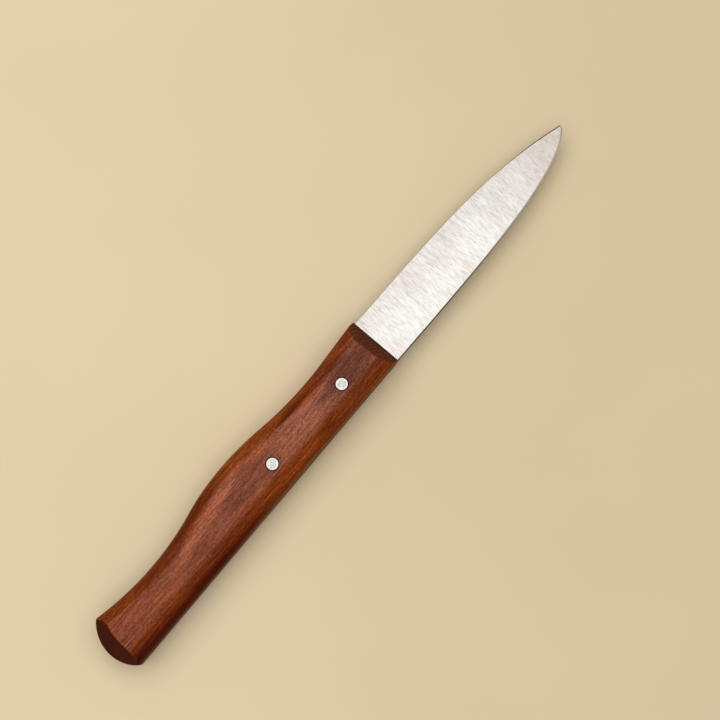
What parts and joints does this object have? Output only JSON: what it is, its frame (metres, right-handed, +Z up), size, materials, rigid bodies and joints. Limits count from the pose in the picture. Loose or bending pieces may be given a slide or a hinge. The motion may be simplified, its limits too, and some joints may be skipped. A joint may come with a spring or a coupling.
{
  "type": "paring knife",
  "caption": "Small kitchen knife with a pointed, full-ground steel blade riveted by a short tang into a sculpted one-piece wooden handle.",
  "frame": {"origin": "centre of the knife's bounding box, on the surface that it lies on", "axes": "+X from the butt to the tip, +Y from the cutting edge to the spine, +Z up, through the thickness"},
  "size_m": [0.191, 0.0185, 0.012],
  "materials": {
    "steel": "satin, ground across the blade",
    "wood": "oiled, reddish brown, fine lengthwise grain",
    "rivet": "sanded flush with the wood"
  },
  "bodies": {
    "root": {"blade": "steel", "handle": "wood", "front_rivet": "rivet", "rear_rivet": "rivet"}
  },
  "joints": []
}
